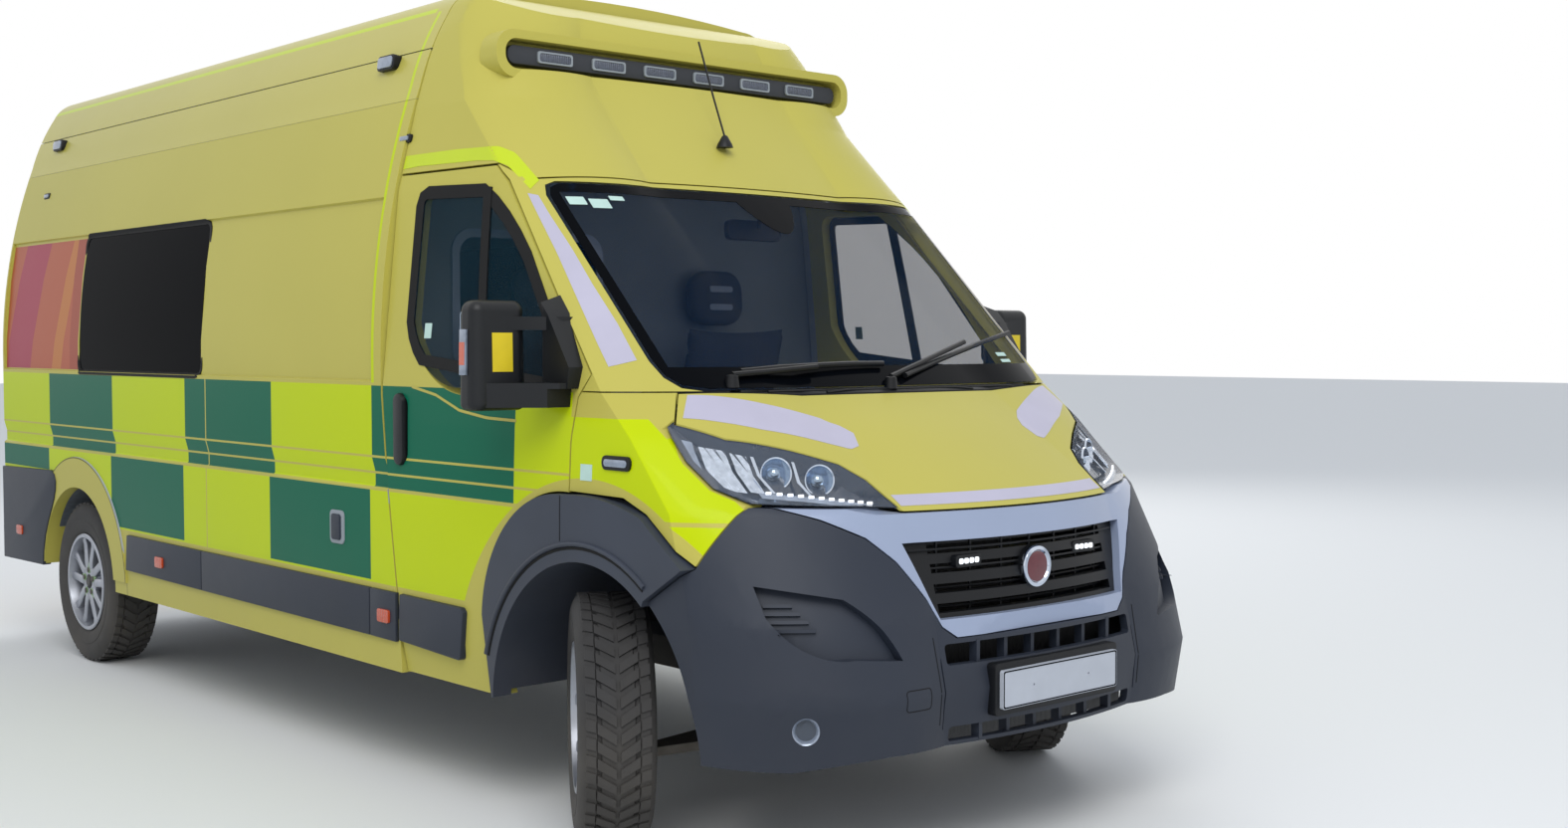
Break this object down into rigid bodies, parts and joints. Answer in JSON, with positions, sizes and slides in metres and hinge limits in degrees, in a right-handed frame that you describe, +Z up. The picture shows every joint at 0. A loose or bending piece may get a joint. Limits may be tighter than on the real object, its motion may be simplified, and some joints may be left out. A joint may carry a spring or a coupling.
{
  "type": "ambulance van",
  "caption": "High-roof panel van ambulance with opening cab doors, rear doors and bonnet, steered front wheels and an emergency light bar.",
  "frame": {"origin": "on the ground under the middle of the overall length and width", "axes": "+X forward, +Y to the left of the driver, +Z up"},
  "size_m": [6.05, 2.5072, 2.7638],
  "materials": {
    "body_paint": "gloss",
    "grey_plastic": "satin",
    "black_plastic": "satin",
    "silver_paint": "gloss",
    "dark_glass": "gloss",
    "clear_glass": "gloss",
    "lamp_lens": "clear",
    "red_lens": "clear",
    "plate": "gloss",
    "rim_silver": "satin",
    "tyre": "matt",
    "steel_dark": "matt",
    "seat_fabric": "woven",
    "liner": "satin"
  },
  "bodies": {
    "body": {"arch_left": "grey_plastic", "arch_right": "grey_plastic", "bulkhead": "liner", "cab_floor": "liner", "cab_frame": "body_paint", "chassis": "steel_dark", "cowl": "black_plastic", "dashboard": "black_plastic", "engine": "steel_dark", "front_bumper": "grey_plastic", "front_plate": "plate", "front_subframe": "steel_dark", "grille": "black_plastic", "grille_surround": "silver_paint", "headlamp_left": "lamp_lens", "headlamp_right": "lamp_lens", "light_bar": "lamp_lens", "load_floor": "liner", "rear_axle": "steel_dark", "rear_bumper": "grey_plastic", "roof": "body_paint", "roof_fairing": "body_paint", "seat_driver": "seat_fabric", "seat_passenger": "seat_fabric", "side_glass_left": "dark_glass", "side_glass_right": "dark_glass", "side_panel_left": "body_paint", "side_panel_right": "body_paint", "sliding_door": "body_paint", "sliding_glass": "dark_glass", "strip_left": "grey_plastic", "strip_right": "grey_plastic", "tail_lamp_left": "red_lens", "tail_lamp_right": "red_lens", "windscreen": "clear_glass", "wing_left": "body_paint", "wing_right": "body_paint"},
    "knuckle_right": {"knuckle_right": "steel_dark"},
    "knuckle_left": {"knuckle_left": "steel_dark"},
    "wheel_front_right": {"rim_front_right": "rim_silver", "tyre_front_right": "tyre"},
    "wheel_front_left": {"rim_front_left": "rim_silver", "tyre_front_left": "tyre"},
    "wheel_rear_right": {"rim_rear_right": "rim_silver", "tyre_rear_right": "tyre"},
    "wheel_rear_left": {"rim_rear_left": "rim_silver", "tyre_rear_left": "tyre"},
    "door_right": {"cab_door_right": "body_paint", "door_glass_right": "clear_glass", "mirror_right": "black_plastic"},
    "door_left": {"cab_door_left": "body_paint", "door_glass_left": "clear_glass", "mirror_left": "black_plastic"},
    "rear_door_right": {"rear_door_right": "body_paint", "rear_glass_right": "dark_glass"},
    "rear_door_left": {"rear_door_left": "body_paint", "rear_glass_left": "dark_glass"},
    "bonnet": {"bonnet": "body_paint"},
    "steering_wheel": {"steering_wheel": "black_plastic"}
  },
  "joints": [
    {"name": "steer_right", "type": "hinge", "parent": "body", "child": "knuckle_right", "pos_m": [2.06, -0.835, 0.372], "axis": [0, 0, 1], "range_deg": [-3, 67]},
    {"name": "steer_left", "type": "hinge", "parent": "body", "child": "knuckle_left", "pos_m": [2.06, 0.835, 0.372], "axis": [0, 0, 1], "range_deg": [-3, 67]},
    {"name": "steering_wheel_turn", "type": "hinge", "parent": "body", "child": "steering_wheel", "pos_m": [1.57, -0.4, 1.18], "axis": [0.8189, 0, -0.5739], "range_deg": [-1010, 50]},
    {"name": "spin_front_right", "type": "hinge", "parent": "knuckle_right", "child": "wheel_front_right", "pos_m": [2.02291, -0.89436, 0.372], "axis": [0.5299, 0.848, 0], "continuous": true},
    {"name": "spin_front_left", "type": "hinge", "parent": "knuckle_left", "child": "wheel_front_left", "pos_m": [2.09709, 0.89436, 0.372], "axis": [0.5299, 0.848, 0], "continuous": true},
    {"name": "spin_rear_right", "type": "hinge", "parent": "body", "child": "wheel_rear_right", "pos_m": [-1.975, -0.895, 0.372], "axis": [0, 1, 0], "continuous": true},
    {"name": "spin_rear_left", "type": "hinge", "parent": "body", "child": "wheel_rear_left", "pos_m": [-1.975, 0.895, 0.372], "axis": [0, 1, 0], "continuous": true},
    {"name": "door_right_open", "type": "hinge", "parent": "body", "child": "door_right", "pos_m": [1.975, -1, 1], "axis": [0, 0, 1], "range_deg": [0, 60]},
    {"name": "door_left_open", "type": "hinge", "parent": "body", "child": "door_left", "pos_m": [1.975, 1, 1], "axis": [0, 0, -1], "range_deg": [0, 60]},
    {"name": "rear_door_right_open", "type": "hinge", "parent": "body", "child": "rear_door_right", "pos_m": [-3.004, -0.888, 1.5], "axis": [0, 0, 1], "range_deg": [0, 180]},
    {"name": "rear_door_left_open", "type": "hinge", "parent": "body", "child": "rear_door_left", "pos_m": [-3.004, 0.888, 1.5], "axis": [0, 0, -1], "range_deg": [0, 180]},
    {"name": "bonnet_open", "type": "hinge", "parent": "body", "child": "bonnet", "pos_m": [2.236, 0, 1.346], "axis": [0, -1, 0], "range_deg": [0, 60]}
  ],
  "couplings": [
    {"joint": "steer_left", "follows": "steer_right", "ratio": 1},
    {"joint": "steering_wheel_turn", "follows": "steer_right", "ratio": -15}
  ]
}
